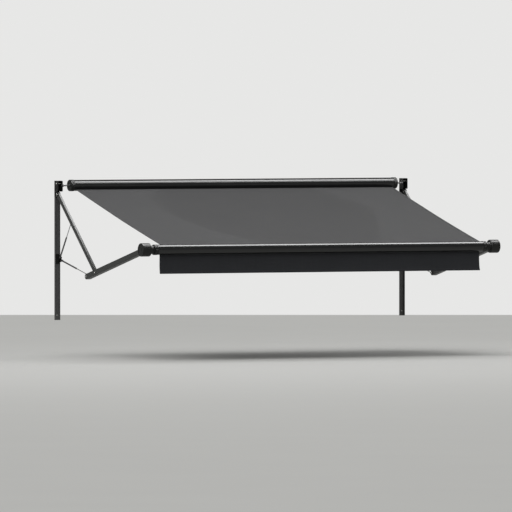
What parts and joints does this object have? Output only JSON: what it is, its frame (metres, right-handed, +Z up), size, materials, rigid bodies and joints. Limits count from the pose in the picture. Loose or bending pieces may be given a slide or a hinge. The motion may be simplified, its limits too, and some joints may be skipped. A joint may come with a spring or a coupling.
{
  "type": "canvas awning",
  "caption": "Folding-arm canvas patio awning with wall channels, fixed rear tube, spring roller, canopy and valance; about 4.8 m wide, 2.35 m deep.",
  "frame": {"origin": "back face of the left wall channel, half way up the channel, on the wall plane", "axes": "+X along the tubes from the left to the right channel, +Y into the wall, +Z up; the awning stands out towards -Y"},
  "size_m": [4.822, 2.3502, 1.677],
  "materials": {
    "black_powder_coat": "satin",
    "black_casting": "satin",
    "bright_steel": "satin",
    "dark_steel": "satin",
    "canopy_fabric": "matte",
    "valance_fabric": "matte"
  },
  "bodies": {
    "root": {"left_wall_channel": "black_powder_coat", "left_top_bracket": "black_casting", "left_lower_bracket": "black_casting", "left_bracket_screw": "bright_steel", "left_foot_screw": "bright_steel", "left_rear_spindle": "black_powder_coat", "left_rear_end_cap": "black_casting", "left_link_pin": "bright_steel", "left_strut_pin": "bright_steel", "left_upper_arm_pin": "bright_steel", "left_tie_bolt": "bright_steel", "right_wall_channel": "black_powder_coat", "right_top_bracket": "black_casting", "right_lower_bracket": "black_casting", "right_bracket_screw": "bright_steel", "right_foot_screw": "bright_steel", "right_rear_spindle": "black_powder_coat", "right_rear_end_cap": "black_casting", "right_link_pin": "bright_steel", "right_strut_pin": "bright_steel", "right_upper_arm_pin": "bright_steel", "right_tie_bolt": "bright_steel", "rear_tube": "black_powder_coat", "canopy": "canopy_fabric"},
    "left_upper_arm": {"left_upper_arm": "black_powder_coat"},
    "left_outer_arm": {"left_outer_arm": "black_powder_coat", "left_elbow_pin": "bright_steel", "left_tail_bolt": "bright_steel", "left_head_housing": "black_casting", "left_head_cover": "black_casting", "left_roller_shaft": "bright_steel"},
    "left_lower_link": {"left_lower_link": "black_powder_coat", "left_link_rod": "bright_steel"},
    "left_strut_cylinder": {"left_strut_cylinder": "black_powder_coat"},
    "left_strut_rod": {"left_strut_rod": "dark_steel"},
    "right_upper_arm": {"right_upper_arm": "black_powder_coat"},
    "right_outer_arm": {"right_outer_arm": "black_powder_coat", "right_elbow_pin": "bright_steel", "right_tail_bolt": "bright_steel", "right_head_housing": "black_casting", "right_head_cover": "black_casting", "right_roller_shaft": "bright_steel"},
    "right_lower_link": {"right_lower_link": "black_powder_coat", "right_link_rod": "bright_steel"},
    "right_strut_cylinder": {"right_strut_cylinder": "black_powder_coat"},
    "right_strut_rod": {"right_strut_rod": "dark_steel"},
    "roller": {"roller_tube": "black_powder_coat", "left_roller_plug": "black_casting", "right_roller_plug": "black_casting", "left_torsion_spring": "dark_steel", "right_torsion_spring": "dark_steel"},
    "valance": {"valance": "valance_fabric"}
  },
  "joints": [
    {"name": "awning_fold", "type": "hinge", "parent": "root", "child": "left_upper_arm", "pos_m": [0, -0.06, 0.76325], "axis": [1, 0, 0], "range_deg": [0, 46.9], "deforming": ["canopy"]},
    {"name": "left_elbow", "type": "hinge", "parent": "left_upper_arm", "child": "left_outer_arm", "pos_m": [0, -1.03477, -0.14892], "axis": [1, 0, 0], "range_deg": [-118.6, 0]},
    {"name": "left_link_swing", "type": "hinge", "parent": "root", "child": "left_lower_link", "pos_m": [0, -0.06, -0.02629], "axis": [1, 0, 0], "range_deg": [0, 78.6]},
    {"name": "left_strut_swing", "type": "hinge", "parent": "root", "child": "left_strut_cylinder", "pos_m": [0, -0.06, 0.01171], "axis": [1, 0, 0], "range_deg": [-34.6, 0]},
    {"name": "left_strut_slide", "type": "slide", "parent": "left_strut_cylinder", "child": "left_strut_rod", "axis": [0, -0.5656, 0.8247], "range_m": [-0.2337, 0]},
    {"name": "right_fold", "type": "hinge", "parent": "root", "child": "right_upper_arm", "pos_m": [4.7, -0.06, 0.76325], "axis": [1, 0, 0], "range_deg": [0, 47]},
    {"name": "right_elbow", "type": "hinge", "parent": "right_upper_arm", "child": "right_outer_arm", "pos_m": [4.7, -1.03477, -0.14892], "axis": [1, 0, 0], "range_deg": [-118.6, 0]},
    {"name": "right_link_swing", "type": "hinge", "parent": "root", "child": "right_lower_link", "pos_m": [4.7, -0.06, -0.02629], "axis": [1, 0, 0], "range_deg": [0, 78.6]},
    {"name": "right_strut_swing", "type": "hinge", "parent": "root", "child": "right_strut_cylinder", "pos_m": [4.7, -0.06, 0.01171], "axis": [1, 0, 0], "range_deg": [-34.6, 0]},
    {"name": "right_strut_slide", "type": "slide", "parent": "right_strut_cylinder", "child": "right_strut_rod", "axis": [0, -0.5656, 0.8247], "range_m": [-0.2337, 0]},
    {"name": "roller_spin", "type": "hinge", "parent": "left_outer_arm", "child": "roller", "pos_m": [0, -2.27121, 0.14108], "axis": [1, 0, 0], "range_deg": [0, 2233]},
    {"name": "valance_hang", "type": "hinge", "parent": "left_outer_arm", "child": "valance", "pos_m": [0, -2.27121, 0.14108], "axis": [1, 0, 0], "range_deg": [0, 71.7]}
  ],
  "couplings": [
    {"joint": "left_elbow", "follows": "awning_fold", "ratio": -2.5267},
    {"joint": "left_link_swing", "follows": "awning_fold", "ratio": 1.6731},
    {"joint": "left_strut_swing", "follows": "awning_fold", "ratio": -0.73448},
    {"joint": "left_strut_slide", "follows": "awning_fold", "m_per_rad": -0.28529},
    {"joint": "right_fold", "follows": "awning_fold", "ratio": 1},
    {"joint": "right_elbow", "follows": "awning_fold", "ratio": -2.5267},
    {"joint": "right_link_swing", "follows": "awning_fold", "ratio": 1.6731},
    {"joint": "right_strut_swing", "follows": "awning_fold", "ratio": -0.73448},
    {"joint": "right_strut_slide", "follows": "awning_fold", "m_per_rad": -0.28529},
    {"joint": "roller_spin", "follows": "awning_fold", "ratio": 47.582},
    {"joint": "valance_hang", "follows": "awning_fold", "ratio": 1.5267}
  ]
}
